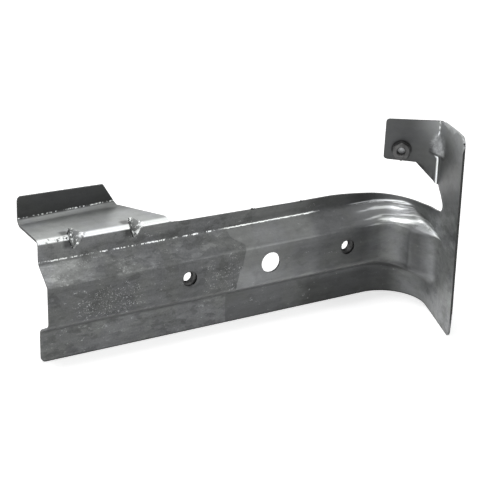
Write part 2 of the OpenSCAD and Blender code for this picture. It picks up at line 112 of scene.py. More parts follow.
def makeLamp(name, place, power, size):
    data = bpy.data.lights.new(name, "AREA")
    data.energy = power
    data.size = size
    lamp = bpy.data.objects.new(name, data)
    lamp.location = place
    lamp.rotation_euler = (-Vector(place)).to_track_quat("-Z", "Y").to_euler()
    bpy.context.scene.collection.objects.link(lamp)

def seesBackground(nt):   # 1 for the camera's rays and for what metal reflects
    path = newNode(nt, "ShaderNodeLightPath")
    either = path.outputs["Is Camera Ray"]
    for kind in ("Is Glossy Ray", "Is Transmission Ray"):
        more = newNode(nt, "ShaderNodeMath", operation="MAXIMUM")
        nt.links.new(either, more.inputs[0])
        nt.links.new(path.outputs[kind], more.inputs[1])
        either = more.outputs[0]
    return either

def makeStudio(p):
    world = bpy.data.worlds.new("world")
    bpy.context.scene.world = world
    world.use_nodes = True
    nt = world.node_tree
    nt.nodes.clear()
    out = newNode(nt, "ShaderNodeOutputWorld")
    mix = newNode(nt, "ShaderNodeMixShader")
    setInput(nt, mix, 0, seesBackground(nt))
    for slot, strength in ((1, p["surround"]), (2, 1.0)):   # what lights the object, and what is seen
        level = newNode(nt, "ShaderNodeBackground")
        level.inputs[0].default_value = (1, 1, 1, 1)
        level.inputs[1].default_value = strength
        nt.links.new(level.outputs[0], mix.inputs[slot])
    nt.links.new(mix.outputs[0], out.inputs[0])
    for side in ("top", "front", "side"):
        makeLamp(side + "Lamp", p[side + "Place"], p[side + "Power"], p[side + "Size"])

makeStudio(studio)

def makeFloor(p):
    bm = bmesh.new()
    bmesh.ops.create_grid(bm, x_segments=4, y_segments=4, size=p["floorSize"] / 2)
    bmesh.ops.translate(bm, verts=bm.verts, vec=(0, 0, floorZ - p["floorGap"]))
    mesh = bpy.data.meshes.new("floor")
    bm.to_mesh(mesh)
    bm.free()
    floor = bpy.data.objects.new("floor", mesh)
    bpy.context.scene.collection.objects.link(floor)
    mat = bpy.data.materials.new("paleFloor")
    mat.use_nodes = True
    nt = mat.node_tree
    bsdf = nt.nodes["Principled BSDF"]
    tone = p["floorTone"]
    bsdf.inputs["Base Color"].default_value = (tone, tone, tone, 1)
    bsdf.inputs["Roughness"].default_value = p["floorRough"]
    bsdf.inputs["Specular IOR Level"].default_value = 0.0
    bsdf.inputs["Emission Color"].default_value = (1, 1, 1, 1)
    seen = newNode(nt, "ShaderNodeMath", operation="MULTIPLY")   # the glow is only for what looks at the floor
    setInput(nt, seen, 0, seesBackground(nt))
    seen.inputs[1].default_value = p["floorGlow"]
    nt.links.new(seen.outputs[0], bsdf.inputs["Emission Strength"])
    mesh.materials.append(mat)

makeFloor(studio)
print("stage: camera, lamps and floor")

# Small helpers for materials
def newMaterial(name, metal):
    mat = bpy.data.materials.new(name)
    mat.use_nodes = True
    nt = mat.node_tree
    bsdf = nt.nodes["Principled BSDF"]
    bsdf.inputs["Metallic"].default_value = metal
    return mat, nt, bsdf

def doMath(nt, op, a, b=0.0, c=None):
    node = newNode(nt, "ShaderNodeMath", operation=op)
    setInput(nt, node, 0, a)
    setInput(nt, node, 1, b)
    if c is not None:
        setInput(nt, node, 2, c)
    return node.outputs[0]

def splitAxes(nt, vector):
    node = newNode(nt, "ShaderNodeSeparateXYZ")
    nt.links.new(vector, node.inputs[0])
    return node.outputs

def between(nt, value, low, high):
    node = newNode(nt, "ShaderNodeMapRange", interpolation_type="SMOOTHSTEP")
    setInput(nt, node, 0, value)
    node.inputs["From Min"].default_value = low
    node.inputs["From Max"].default_value = high
    return node.outputs[0]

def below(nt, value, low, high):
    return doMath(nt, "SUBTRACT", 1.0, between(nt, value, low, high))

def nearLine(nt, value, centre, width):
    core = 0.3   # share of the width that is full
    off = doMath(nt, "ABSOLUTE", doMath(nt, "SUBTRACT", value, centre))
    return below(nt, off, width * core, width)

def allOf(nt, *masks):
    out = masks[0]
    for mask in masks[1:]:
        out = doMath(nt, "MULTIPLY", out, mask)
    return out

def maxOf(nt, *masks):
    out = masks[0]
    for mask in masks[1:]:
        out = doMath(nt, "MAXIMUM", out, mask)
    return out

def mixTone(nt, mask, low, high):
    node = newNode(nt, "ShaderNodeMix", data_type="FLOAT")
    setInput(nt, node, 0, mask)
    setInput(nt, node, 2, low)
    setInput(nt, node, 3, high)
    return node.outputs[0]

def scaleTone(nt, tone, mask, factor):
    return doMath(nt, "MULTIPLY", tone, mixTone(nt, mask, 1.0, factor))

def swing(nt, tone, noise, amount):   # lighter and darker with the noise, never below a quarter
    change = doMath(nt, "MULTIPLY", doMath(nt, "SUBTRACT", noise, 0.5), amount)
    return doMath(nt, "MULTIPLY", tone, doMath(nt, "MAXIMUM", doMath(nt, "ADD", change, 1.0), 0.25))

def distanceTo(nt, place, spot):
    node = newNode(nt, "ShaderNodeVectorMath", operation="DISTANCE")
    nt.links.new(place, node.inputs[0])
    node.inputs[1].default_value = spot
    return node.outputs["Value"]

def cloud(nt, place, scale, detail, rough, stretch=None):
    if stretch:
        mapping = newNode(nt, "ShaderNodeMapping")
        nt.links.new(place, mapping.inputs["Vector"])
        mapping.inputs["Scale"].default_value = stretch
        place = mapping.outputs[0]
    node = newNode(nt, "ShaderNodeTexNoise")
    nt.links.new(place, node.inputs["Vector"])
    node.inputs["Scale"].default_value = scale
    node.inputs["Detail"].default_value = detail
    node.inputs["Roughness"].default_value = rough
    return node.outputs["Fac"]

def mapTo(nt, value, fromRange, toRange):
    node = newNode(nt, "ShaderNodeMapRange")
    setInput(nt, node, 0, value)
    node.inputs["From Min"].default_value, node.inputs["From Max"].default_value = fromRange
    node.inputs["To Min"].default_value, node.inputs["To Max"].default_value = toRange
    return node.outputs[0]

def toneRamp(nt, value, span, stops):
    low, high = span
    ramp = newNode(nt, "ShaderNodeValToRGB")
    nt.links.new(mapTo(nt, value, span, (0.0, 1.0)), ramp.inputs[0])
    ramp.color_ramp.interpolation = "EASE"
    while len(ramp.color_ramp.elements) < len(stops):
        ramp.color_ramp.elements.new(0.5)
    for element, (at, tone) in zip(ramp.color_ramp.elements, stops):
        element.position = (at - low) / (high - low)
        element.color = (tone, tone, tone, 1)
    return ramp.outputs[0]

def greyColour(nt, tone):
    grey = newNode(nt, "ShaderNodeCombineColor")
    for i in range(3):
        nt.links.new(tone, grey.inputs[i])
    return grey.outputs[0]

def addBump(nt, bsdf, height, distance):
    bump = newNode(nt, "ShaderNodeBump")
    bump.inputs["Strength"].default_value = 1.0
    bump.inputs["Distance"].default_value = distance
    nt.links.new(height, bump.inputs["Height"])
    nt.links.new(bump.outputs[0], bsdf.inputs["Normal"])

# The folded sheet. Tones are reflectances; places are metres from the middle of the large hole.
# The bands run along the channel and are given by height, the borders between them by height and length.
sheetLook = {
    "metal": 0.62,
    "left": ((-0.044, 0.162), (-0.026, 0.15), (-0.0175, 0.164), (-0.0125, 0.105), (0.010, 0.108),
             (0.015, 0.148), (0.022, 0.145), (0.026, 0.144), (0.035, 0.174)),
    "middle": ((-0.044, 0.103), (-0.026, 0.109), (-0.0175, 0.192), (-0.0125, 0.21), (0.004, 0.162),
               (0.014, 0.198), (0.022, 0.198), (0.026, 0.114), (0.035, 0.135)),
    "right": ((-0.044, 0.0585), (-0.030, 0.0574), (-0.0175, 0.136), (-0.0125, 0.1), (0.004, 0.0952),
              (0.014, 0.124), (0.022, 0.126), (0.026, 0.093), (0.035, 0.096)),
    "plate": ((-0.044, 0.197), (-0.032, 0.259), (-0.010, 0.331), (0.010, 0.328), (0.030, 0.186),
              (0.050, 0.129), (0.070, 0.126), (0.094, 0.471)),
    "bandSpan": (-0.05, 0.04),
    "plateSpan": (-0.05, 0.1),
    "border": ((-0.0166, -0.0261), (-0.0117, -0.0255), (-0.0048, -0.0241), (0.0037, -0.0206),
               (0.0146, -0.0186), (0.0202, -0.0262)),
    "borderSpan": (-0.017, 0.0235),
    "borderFrom": -0.03,
    "borderReach": 0.01,
    "drift": 0.012,   # how far the borders wander, and the shares of it that each takes
    "driftUp": 0.15,
    "driftBorder": 0.06,
    "driftUpper": 0.2,
    "lip": 0.054,
    "shelf": (0.52, -0.15, 0.10),   # at its left rear, change to the right, change to the front
    "tab": 0.078,
    "tabFade": (1.02, 0.98),
    "curveWeb": (0.18, 0.265),
    "curveSofter": 0.16,
    "curveFoot": 0.27,
    # the next three give the painted highlight on the curve's incline: its tone, how the strands vary it, and its
    # streaks
    "inclineLitTone": 0.216,
    "strandSwing": (1.4, 0.3),
    "streak": 0.55,
    "cutEdge": 0.03,
    "litEdge": 0.42,
    # tone of all the painted highlights: on the bends, the curve's incline and the dents
    "highlightTone": 1.0,
    "speck": 0.372,
    # tone of the painted lit patch in the bore of the tab's nut
    "nutBore": 0.5,
    # tone of the painted highlight on the dart of the fold
    "dart": 0.5,
    "dartHighlightSpread": (0.5, 1.0),
    "dartRagged": -0.012,
    "lineRagged": 0.0011,
    # painted shade and painted highlight on the two sides of the shelf's dents
    "dentDark": 0.03,
    "dentLit": 0.252,
    "tintCool": (0.95, 0.975, 0.995, 1),
    "tintGreen": (0.955, 0.985, 0.965, 1),
    "rough": (0.36, 0.50),
    "roughNoise": (0.6, 0.4),   # patches and fine grain
    "roughSpan": (0.35, 0.65),
    # roughness is lowered under the painted highlights
    "highlightSmoother": 0.12,
    "grain": 0.00006,
    "raised": {"broad": 9.0, "fine": 0.7, "streaks": 0.8, "specks": 1.2},
}

# Places that distances and lengths are measured from
sheetSpots = {
    "plateStart": (0.11074, -0.02361),
    "plateTurn": 109.0,
    "curveCentre": (0.0837, -0.0143),
    "dents": (-0.1324, -0.0910),
    "dart": (0.1062, -0.0335, 0.0745),
    "tabNut": (0.0885137, -0.0150267, 0.06955),
}

# Noises: scale, detail, roughness and stretch
sheetClouds = {
    "broad": (26.0, 3.0, 0.5),
    "patches": (75.0, 4.0, 0.6, (1.0, 1.0, 1.8)),
    "streaks": (60.0, 5.0, 0.6, (0.35, 1.0, 3.2)),
    "veins": (170.0, 6.0, 0.7, (0.7, 1.0, 1.6)),
    "fine": (900.0, 5.0, 0.65),
    "coarse": (420.0, 3.0, 0.6),
    "glaze": (110.0, 5.0, 0.65, (0.6, 1.0, 2.0)),
    "gaps": (520.0, 4.0, 0.7, (1.0, 0.2, 0.2)),
    "strands": (120.0, 5.0, 0.6, (0.22, 0.22, 3.6)),
    "dots": (950.0, 2.0, 0.8),
    "tint": (45.0, 3.0, 0.6),
}

# How strongly each noise changes the tone: in the lighter middle and elsewhere, then on shelf, lip and tab
sheetSwings = {
    "broad": 0.5,
    "streaks": ((0.6, 0.8), 0.4),
    "calm": ((0.45, 1.0), 0.35),
    "veins": 1.15,
    "fine": 0.9,
}

# Marks that scale the tone below them
sheetShades = {
    "middleRight": 0.70,
    "leftFlange": 0.78,
    "leftIncline": 1.45,
    "curveFar": 0.68,
    "curveFlange": 0.72,
    "curveFlangeEnd": 1.9,
    "tabLow": 0.60,
    "shelfRear": 0.55,
    "stained": 0.78,
    "glazed": 1.3,
    # painted shade at the foot of the dart
    "dartFoot": 0.45,
    # painted shadow beside the dents
    "besideDent": 0.38,
    "stain": 0.72,
    # painted shade in the lower bend of the bead
    "lowBend": 0.68,
    "lowEdge": 0.4,
    # painted shadow round the nut of the tab
    "nutRing": 0.35,
}

# Where each mark lies. A field "over" fades in between its two numbers and "under" fades out between them;
# "near" is a line at the first number, as wide to each side as the second; "times" takes the field as it is.
# All lines of a mark hold at once.
sheetZones = {
    "shown": (("ny", "under", 0.0, 0.3),),
    "front": (("toFront", "over", 0.2, 0.5),),
    "inward": (("toLeft", "over", -0.1, 0.2),),
    "upward": (("nz", "over", 0.75, 0.9),),
    # bands of the channel
    "upperBand": (("z", "over", 0.0225, 0.0235),),
    "pastBorder": (("past", "over", -0.0004, 0.0006),),
    "pastUpper": (("pastUpper", "over", -0.0075, -0.0060),),
    "pastRight": (("xDrift", "over", 0.030, 0.040),),
    "farRight": (("x", "over", 0.09, 0.11),),
    "middleRight": (("x", "over", -0.012, 0.028), ("z", "over", -0.014, -0.012), ("z", "under", 0.011, 0.014)),
    "leftFlange": (("x", "over", -0.145, -0.10), ("z", "over", 0.023, 0.024)),
    "leftIncline": (("x", "under", -0.140, -0.115), ("z", "over", 0.011, 0.014), ("z", "under", 0.022, 0.023)),
    # curve
    "curveWeb": (("x", "over", 0.070, 0.086), ("z", "over", -0.016, -0.013), ("z", "under", 0.011, 0.014),
                 ("along", "under", 0.0, 0.016)),
    "curveTurned": (("angle", "over", 0.35, 1.3), ("along", "under", -0.001, 0.006)),
    "curveFar": (("angle", "over", 1.58, 1.80),),
    "curveFlange": (("x", "over", 0.060, 0.080), ("z", "over", 0.0155, 0.0190), ("nz", "under", 0.08, 0.18)),
    "curveFlangeEnd": (("x", "over", 0.094, 0.104),),
    "curveFoot": (("x", "over", 0.099, 0.114), ("z", "under", -0.020, -0.014)),
    # end plate and tab
    "plate": (("along", "over", 0.004, 0.018), ("x", "over", 0.085, 0.09)),
    "upper": (("x", "over", 0.06, 0.07), ("z", "over", 0.040, 0.046)),
    "tab": (("along", "under", 0.0, 0.009),),
    "tabRight": (("x", "over", 0.080, 0.112),),
    "tabLow": (("z", "under", 0.058, 0.068),),
    # shelf and lip
    "shelf": (("y", "over", 0.0150, 0.0180), ("x", "under", -0.05, -0.04)),
    "shelfRight": (("x", "over", -0.150, -0.085),),
    "shelfFront": (("y", "under", 0.020, 0.046),),
    "shelfRear": (("y", "over", 0.036, 0.047),),
    "lip": (("y", "over", 0.0455, 0.0470), ("z", "over", 0.0395, 0.0412)),
    # clouding
    "stained": (("patches", "over", 0.54, 0.58),),
    "glazed": (("glaze", "over", 0.56, 0.60), ("z", "over", 0.009, 0.013), ("z", "under", 0.022, 0.0235)),
    "tinted": (("tint", "over", 0.4, 0.6),),
    # painted highlights along the bends
    "dashes": (("gaps", "over", 0.47, 0.55), ("veins", "over", 0.40, 0.50)),
    "wholeLine": (("x", "over", -0.035, -0.02), ("x", "under", 0.036, 0.048)),
    "crease": (("ragged", "near", 0.0240, 0.00055), ("x", "under", 0.036, 0.048)),
    "lipLine": (("ragged", "near", 0.0413, 0.00055), ("y", "over", 0.040, 0.045)),
    "shelfBend": (("z", "near", 0.0367, 0.0018), ("nz", "over", 0.08, 0.25), ("y", "under", 0.0165, 0.0185)),
    "shelfBroken": (("coarse", "over", 0.36, 0.48),),
    "shelfWhole": (("x", "over", -0.127, -0.122),),
    "foldLow": (("along", "near", 0.0063, 0.0005), ("z", "under", 0.066, 0.068), ("z", "over", 0.046, 0.048)),
    "foldHigh": (("along", "near", 0.0063, 0.0003), ("z", "over", 0.080, 0.082), ("coarse", "over", 0.40, 0.55)),
    "foldSide": (("x", "over", 0.09, 0.10), ("nx", "under", 0.0, 0.3)),
    # painted highlights on the incline of the curve
    "incline": (("x", "over", 0.062, 0.088), ("nz", "over", 0.18, 0.5), ("z", "over", 0.009, 0.012),
                ("z", "under", 0.025, 0.027)),
    "inclineStreak": (("x", "over", 0.070, 0.078), ("strands", "over", 0.53, 0.66)),
    "lowBead": (("z", "near", 0.0140, 0.0013), ("x", "over", 0.084, 0.092), ("nz", "over", 0.05, 0.3),
                ("strands", "over", 0.40, 0.50)),
    "highBead": (("z", "near", 0.0236, 0.0016), ("x", "over", 0.064, 0.076), ("nz", "over", 0.05, 0.25),
                 ("along", "under", -0.012, -0.004), ("strands", "over", 0.42, 0.52)),
    # dart of the fold: painted highlight, and painted shade at its foot
    "dart": (("dartRagged", "under", 0.0035, 0.0090), ("z", "over", 0.066, 0.071)),
    "dartHighlightPatches": (("coarse", "over", 0.38, 0.60),),
    "dartFoot": (("fromDart", "under", 0.0075, 0.0105), ("z", "near", 0.0672, 0.0020)),
    # dents of the shelf: painted shade, painted shadow beside them and painted highlights
    "dent": (("fromDent", "near", 0.0, 0.0125), ("z", "over", 0.0265, 0.0290), ("y", "under", 0.026, 0.029)),
    "dentShaded": (("nx", "over", 0.06, 0.2),),
    "dentTurnedToLight": (("toLeft", "over", 0.06, 0.2),),
    "besideDent": (("fromDent", "near", -0.0050, 0.0042), ("z", "over", 0.0285, 0.0320),
                   ("y", "under", 0.022, 0.025)),
    "dentRimGlints": (("fromDent", "near", 0.0035, 0.0075), ("coarse", "over", 0.53, 0.61),
                 ("sideways", "over", 0.02, 0.12)),
    # specks round a dark stain
    "stain": (("x", "near", -0.118, 0.020), ("z", "near", -0.001, 0.010), ("veins", "over", 0.44, 0.54)),
    "dots": (("dots", "over", 0.545, 0.60), ("coarse", "over", 0.44, 0.54)),
    "scuffed": (("scuffs", "over", 0.60, 0.66),),
    # dark lines; the lower bend and the ring round the tab's nut are painted shade, its bore a painted lit patch
    "lowBend": (("z", "near", -0.0158, 0.0010), ("x", "under", 0.075, 0.10)),
    "lowEdge": (("z", "under", -0.0433, -0.0430),),
    "nutRing": (("fromNut", "near", 0.0062, 0.0010), ("z", "over", 0.0665, 0.0695)),
    "nutBore": (("fromNut", "under", 0.0024, 0.0028),),
    # sheared edges
    "leftEnd": (("toLeft", "over", 0.9, 0.97), ("x", "under", -0.1565, -0.1562)),
    "plateEdge": (("along", "over", 0.0498, 0.0501), ("toFront", "over", 0.85, 0.92), ("x", "over", 0.08, 0.09)),
    "topHigh": (("z", "over", 0.050, 0.051),),
    "topLow": (("z", "under", 0.0345, 0.0352), ("z", "over", 0.0275, 0.0285), ("y", "under", 0.0160, 0.0165)),
    "holeWall": (("facingAcross", "under", 0.3, 0.6), ("y", "over", 0.00002, 0.0001),
                 ("y", "under", 0.0016, 0.0020), ("offMiddleZ", "under", 0.0075, 0.0085),
                 ("offMiddleX", "under", 0.07, 0.08)),
    "litEdge": (("nz", "over", 0.6, 0.75), ("z", "over", 0.084, 0.086), ("y", "under", -0.036, -0.034)),
}

# Patches of specks: where, and how much each adds to the scuffing
speckPatches = (
    ((("x", "near", -0.117, 0.034), ("z", "near", -0.005, 0.015)), 0.17),
    ((("x", "near", -0.034, 0.022), ("z", "near", -0.004, 0.020), ("leftPart", "times", 0, 0)), 0.11),
    ((("x", "near", -0.130, 0.040), ("z", "near", -0.030, 0.016)), 0.06),
    ((("x", "under", -0.110, -0.09), ("z", "near", 0.018, 0.009)), 0.09),
    ((("leftPart", "times", 0, 0),), 0.02),
)

def zoneMask(nt, fields, lines):
    ways = {"over": between, "under": below, "near": nearLine, "times": lambda nt, value, low, high: value}
    return allOf(nt, *[ways[way](nt, fields[field], low, high) for field, way, low, high in lines])

def sheetFields(nt, place):   # what the zones read: places, directions, noises and lengths along the sheet
    x, y, z = splitAxes(nt, place)
    nx, ny, nz = splitAxes(nt, newNode(nt, "ShaderNodeNewGeometry").outputs["Normal"])
    fields = {"x": x, "y": y, "z": z, "nx": nx, "ny": ny, "nz": nz}
    for name, settings in sheetClouds.items():
        fields[name] = cloud(nt, place, *settings)
    fields["toLeft"] = doMath(nt, "MULTIPLY", nx, -1.0)
    fields["toFront"] = doMath(nt, "MULTIPLY", ny, -1.0)
    fields["sideways"] = doMath(nt, "ABSOLUTE", nx)
    fields["facingAcross"] = doMath(nt, "ABSOLUTE", ny)
    fields["offMiddleX"] = doMath(nt, "ABSOLUTE", x)
    fields["offMiddleZ"] = doMath(nt, "ABSOLUTE", z)
    startX, startY = sheetSpots["plateStart"]
    turn = math.radians(sheetSpots["plateTurn"])
    fields["along"] = doMath(nt, "ADD",
                             doMath(nt, "MULTIPLY", doMath(nt, "SUBTRACT", x, startX), math.cos(turn)),
                             doMath(nt, "MULTIPLY", doMath(nt, "SUBTRACT", y, startY), -math.sin(turn)))
    centreX, centreY = sheetSpots["curveCentre"]
    fields["angle"] = doMath(nt, "ARCTAN2", doMath(nt, "SUBTRACT", x, centreX), doMath(nt, "SUBTRACT", y, centreY))
    fields["fromDart"] = distanceTo(nt, place, sheetSpots["dart"])
    fields["fromNut"] = distanceTo(nt, place, sheetSpots["tabNut"])
    return fields

def borderFields(nt, fields, p):   # the borders between the bands wander with the patches
    x, z = fields["x"], fields["z"]
    drift = doMath(nt, "MULTIPLY", doMath(nt, "SUBTRACT", fields["patches"], 0.5), p["drift"])
    fields["xDrift"] = doMath(nt, "ADD", x, drift)
    fields["zDrift"] = doMath(nt, "MULTIPLY_ADD", drift, p["driftUp"], z)
    stops = [(at, (edge - p["borderFrom"]) / p["borderReach"]) for at, edge in p["border"]]
    edge = doMath(nt, "MULTIPLY_ADD", toneRamp(nt, z, p["borderSpan"], stops), p["borderReach"], p["borderFrom"])
    fields["past"] = doMath(nt, "MULTIPLY_ADD", drift, p["driftBorder"], doMath(nt, "SUBTRACT", x, edge))
    fields["pastUpper"] = doMath(nt, "MULTIPLY_ADD", drift, p["driftUpper"], x)

def makeSheetMaterial(p):
    mat, nt, bsdf = newMaterial("pressedSheet", p["metal"])
    place = newNode(nt, "ShaderNodeTexCoord").outputs["Object"]
    fields = sheetFields(nt, place)
    borderFields(nt, fields, p)

    def zone(name):
        return zoneMask(nt, fields, sheetZones[name])

    def shade(tone, name, *others):
        return scaleTone(nt, tone, allOf(nt, zone(name), *others), sheetShades[name])

    # Bands of the channel, which change at two borders along it, on the front face only
    shown = zone("shown")
    midPart = mixTone(nt, zone("upperBand"), zone("pastBorder"), zone("pastUpper"))
    midPart = doMath(nt, "MULTIPLY", midPart, shown)
    rightPart = allOf(nt, zone("pastRight"), maxOf(nt, shown, zone("farRight")))
    middle = shade(toneRamp(nt, fields["zDrift"], p["bandSpan"], p["middle"]), "middleRight")
    tone = toneRamp(nt, fields["zDrift"], p["bandSpan"], p["left"])
    tone = shade(shade(tone, "leftFlange"), "leftIncline")
    tone = mixTone(nt, midPart, tone, middle)
    tone = mixTone(nt, rightPart, tone, toneRamp(nt, fields["zDrift"], p["bandSpan"], p["right"]))

    # The curve: a lighter web, and a dark flange that lightens at the foot
    curveWeb = zone("curveWeb")
    webTone = shade(mixTone(nt, zone("curveTurned"), *p["curveWeb"]), "curveFar")
    tone = mixTone(nt, curveWeb, tone, webTone)
    tone = shade(tone, "curveFlange")
    tone = shade(tone, "curveFlangeEnd", zone("curveFlange"))
    tone = mixTone(nt, zone("curveFoot"), tone, p["curveFoot"])

    # End plate and tab
    plateTone = toneRamp(nt, fields["z"], p["plateSpan"], p["plate"])
    upper = zone("upper")
    tone = mixTone(nt, zone("plate"), tone, plateTone)
    tone = mixTone(nt, upper, tone, plateTone)
    tabTone = doMath(nt, "MULTIPLY", mixTone(nt, zone("tabRight"), *p["tabFade"]), p["tab"])
    tone = mixTone(nt, allOf(nt, upper, zone("tab")), tone, shade(tabTone, "tabLow"))

    # Shelf and lip
    shelf, lip = zone("shelf"), zone("lip")
    base, toRight, toFront = p["shelf"]
    shelfTone = doMath(nt, "MULTIPLY_ADD", zone("shelfRight"), toRight, base)
    shelfTone = doMath(nt, "MULTIPLY_ADD", zone("shelfFront"), toFront, shelfTone)
    tone = mixTone(nt, shelf, tone, shade(shelfTone, "shelfRear"))
    tone = mixTone(nt, lip, tone, p["lip"])

    # Clouding, stains, rolled streaks and fine scuffing, strongest on the left
    fields["leftPart"] = leftPart = doMath(nt, "SUBTRACT", 1.0, midPart)
    front = zone("front")
    quiet = maxOf(nt, shelf, lip, upper)

    def spread(name):
        lefts, onQuiet = sheetSwings[name]
        return doMath(nt, "MULTIPLY", mixTone(nt, leftPart, *lefts), mixTone(nt, quiet, 1.0, onQuiet))

    calm = spread("calm")
    tone = swing(nt, tone, fields["broad"], sheetSwings["broad"])
    tone = swing(nt, tone, fields["streaks"], spread("streaks"))
    tone = swing(nt, tone, fields["veins"], doMath(nt, "MULTIPLY", calm, sheetSwings["veins"]))
    tone = swing(nt, tone, fields["fine"], doMath(nt, "MULTIPLY", calm, sheetSwings["fine"]))
    tone = shade(tone, "stained", calm)
    tone = shade(tone, "glazed", leftPart)

    # Painted highlights along the bends: broken bright lines
    fromHalf = doMath(nt, "SUBTRACT", fields["coarse"], 0.5)
    fields["ragged"] = doMath(nt, "MULTIPLY_ADD", fromHalf, p["lineRagged"], fields["z"])
    dashes = zone("dashes")
    crease = allOf(nt, zone("crease"), maxOf(nt, dashes, zone("wholeLine")), front)
    lipLine = allOf(nt, zone("lipLine"), dashes, front)
    shelfBend = allOf(nt, zone("shelfBend"), maxOf(nt, zone("shelfBroken"), zone("shelfWhole")))
    fold = allOf(nt, maxOf(nt, zone("foldLow"), zone("foldHigh")), zone("foldSide"))
    paintedHighlights = maxOf(nt, crease, lipLine, shelfBend, fold)

    # Painted highlight on the incline of the curve: a soft bright body with long bright streaks
    incline = zone("incline")
    strands = doMath(nt, "MULTIPLY_ADD", fields["strands"], *p["strandSwing"])
    tone = mixTone(nt, incline, tone, doMath(nt, "MULTIPLY", p["inclineLitTone"], strands))
    streak = doMath(nt, "MULTIPLY", allOf(nt, incline, zone("inclineStreak")), p["streak"])
    paintedHighlights = maxOf(nt, paintedHighlights, streak, zone("lowBead"), zone("highBead"))

    # Dart of the fold: a painted highlight in patches, with painted shade at its foot
    inward = zone("inward")
    fromHalf = doMath(nt, "SUBTRACT", fields["veins"], 0.5)
    fields["dartRagged"] = doMath(nt, "MULTIPLY_ADD", fromHalf, p["dartRagged"], fields["fromDart"])
    paintedDartHighlight = allOf(nt, inward, zone("dart"), mixTone(nt, zone("dartHighlightPatches"), *p["dartHighlightSpread"]))
    tone = mixTone(nt, paintedDartHighlight, tone, p["dart"])
    tone = shade(tone, "dartFoot")

    # Dents of the shelf: painted shade on one side and beside them, a painted highlight and bright glints on the
    # other
    for spot in sheetSpots["dents"]:
        fields["fromDent"] = doMath(nt, "SUBTRACT", fields["x"], spot)
        dent = zone("dent")
        tone = mixTone(nt, allOf(nt, dent, zone("dentShaded")), tone, p["dentDark"])
        tone = mixTone(nt, allOf(nt, dent, zone("dentTurnedToLight")), tone, p["dentLit"])
        tone = shade(tone, "besideDent")
        paintedHighlights = maxOf(nt, paintedHighlights, allOf(nt, dent, zone("dentRimGlints")))
    # the painted highlights go over the tone here
    tone = mixTone(nt, paintedHighlights, tone, p["highlightTone"])

    # Specks where the surface is scuffed, round a dark stain
    tone = shade(tone, "stain", front)
    fields["scuffs"] = fields["veins"]
    for lines, weight in speckPatches:
        fields["scuffs"] = doMath(nt, "MULTIPLY_ADD", zoneMask(nt, fields, lines), weight, fields["scuffs"])
    specks = allOf(nt, zone("dots"), zone("scuffed"), front, doMath(nt, "SUBTRACT", 1.0, quiet))
    tone = mixTone(nt, specks, tone, p["speck"])

    # Painted shade in the lower bend of the bead, where it faces down, a dark line at the lower edge, a painted
    # shadow round the nut of the tab and a painted lit patch in its bore
    tone = shade(tone, "lowBend", front)
    tone = shade(tone, "lowEdge")
    tone = shade(tone, "nutRing", inward)
    tone = mixTone(nt, allOf(nt, inward, zone("nutBore")), tone, p["nutBore"])

    # Sheared edges
    topEdge = allOf(nt, zone("upward"), maxOf(nt, zone("topHigh"), zone("topLow")))
    sheared = maxOf(nt, zone("leftEnd"), zone("plateEdge"), topEdge, zone("holeWall"))
    tone = mixTone(nt, sheared, tone, p["cutEdge"])
    tone = mixTone(nt, zone("litEdge"), tone, p["litEdge"])

    # A little colour in the grey
    tint = newNode(nt, "ShaderNodeMix", data_type="RGBA", blend_type="MIX")
    setInput(nt, tint, 0, zone("tinted"))
    tint.inputs[6].default_value = p["tintGreen"]
    tint.inputs[7].default_value = p["tintCool"]
    colour = newNode(nt, "ShaderNodeMix", data_type="RGBA", blend_type="MULTIPLY")
    colour.inputs[0].default_value = 1.0
    nt.links.new(greyColour(nt, tone), colour.inputs[6])
    nt.links.new(tint.outputs[2], colour.inputs[7])
    nt.links.new(colour.outputs[2], bsdf.inputs["Base Color"])

    byPatches, byFine = p["roughNoise"]
    noise = doMath(nt, "MULTIPLY", fields["fine"], byFine)
    noise = doMath(nt, "MULTIPLY_ADD", fields["patches"], byPatches, noise)
    rough = mapTo(nt, noise, p["roughSpan"], p["rough"])
    rough = doMath(nt, "MULTIPLY_ADD", curveWeb, p["curveSofter"], rough)
    rough = doMath(nt, "MULTIPLY_ADD", paintedHighlights, -p["highlightSmoother"], rough)
    nt.links.new(rough, bsdf.inputs["Roughness"])

    # Waviness of the pressed sheet, grain and raised specks
    fields["specks"] = specks
    height = 0.0
    for name, amount in p["raised"].items():
        height = doMath(nt, "MULTIPLY_ADD", fields[name], amount, height)
    addBump(nt, bsdf, height, p["grain"])
    return mat

sheetMaterial = makeSheetMaterial(sheetLook)
print("stage: sheet material")

# Weld nuts
nutLook = {
    "metal": 0.75,
    "rough": (0.28, 0.46),
    "grain": 0.00005,
    "stain": (260.0, 4.0, 0.6),
    "fine": (1500.0, 4.0, 0.6),
    "toneNoise": (0.7, 0.3),   # stain and fine grain
    "toneSpan": (0.35, 0.65),
    "webTone": (0.02, 0.09),
    "tabTone": (0.045, 0.13),
}

def makeNutMaterial(name, toneRange, p):
    mat, nt, bsdf = newMaterial(name, p["metal"])
    place = newNode(nt, "ShaderNodeTexCoord").outputs["Object"]
    stain = cloud(nt, place, *p["stain"])
    fine = cloud(nt, place, *p["fine"])
    byStain, byFine = p["toneNoise"]
    noise = doMath(nt, "MULTIPLY_ADD", stain, byStain, doMath(nt, "MULTIPLY", fine, byFine))
    tone = mapTo(nt, noise, p["toneSpan"], toneRange)
    nt.links.new(greyColour(nt, tone), bsdf.inputs["Base Color"])
    nt.links.new(mapTo(nt, fine, (0.0, 1.0), p["rough"]), bsdf.inputs["Roughness"])
    addBump(nt, bsdf, doMath(nt, "ADD", fine, stain), p["grain"])
    return mat

webNutMaterial = makeNutMaterial("webNutSteel", nutLook["webTone"], nutLook)
tabNutMaterial = makeNutMaterial("tabNutSteel", nutLook["tabTone"], nutLook)

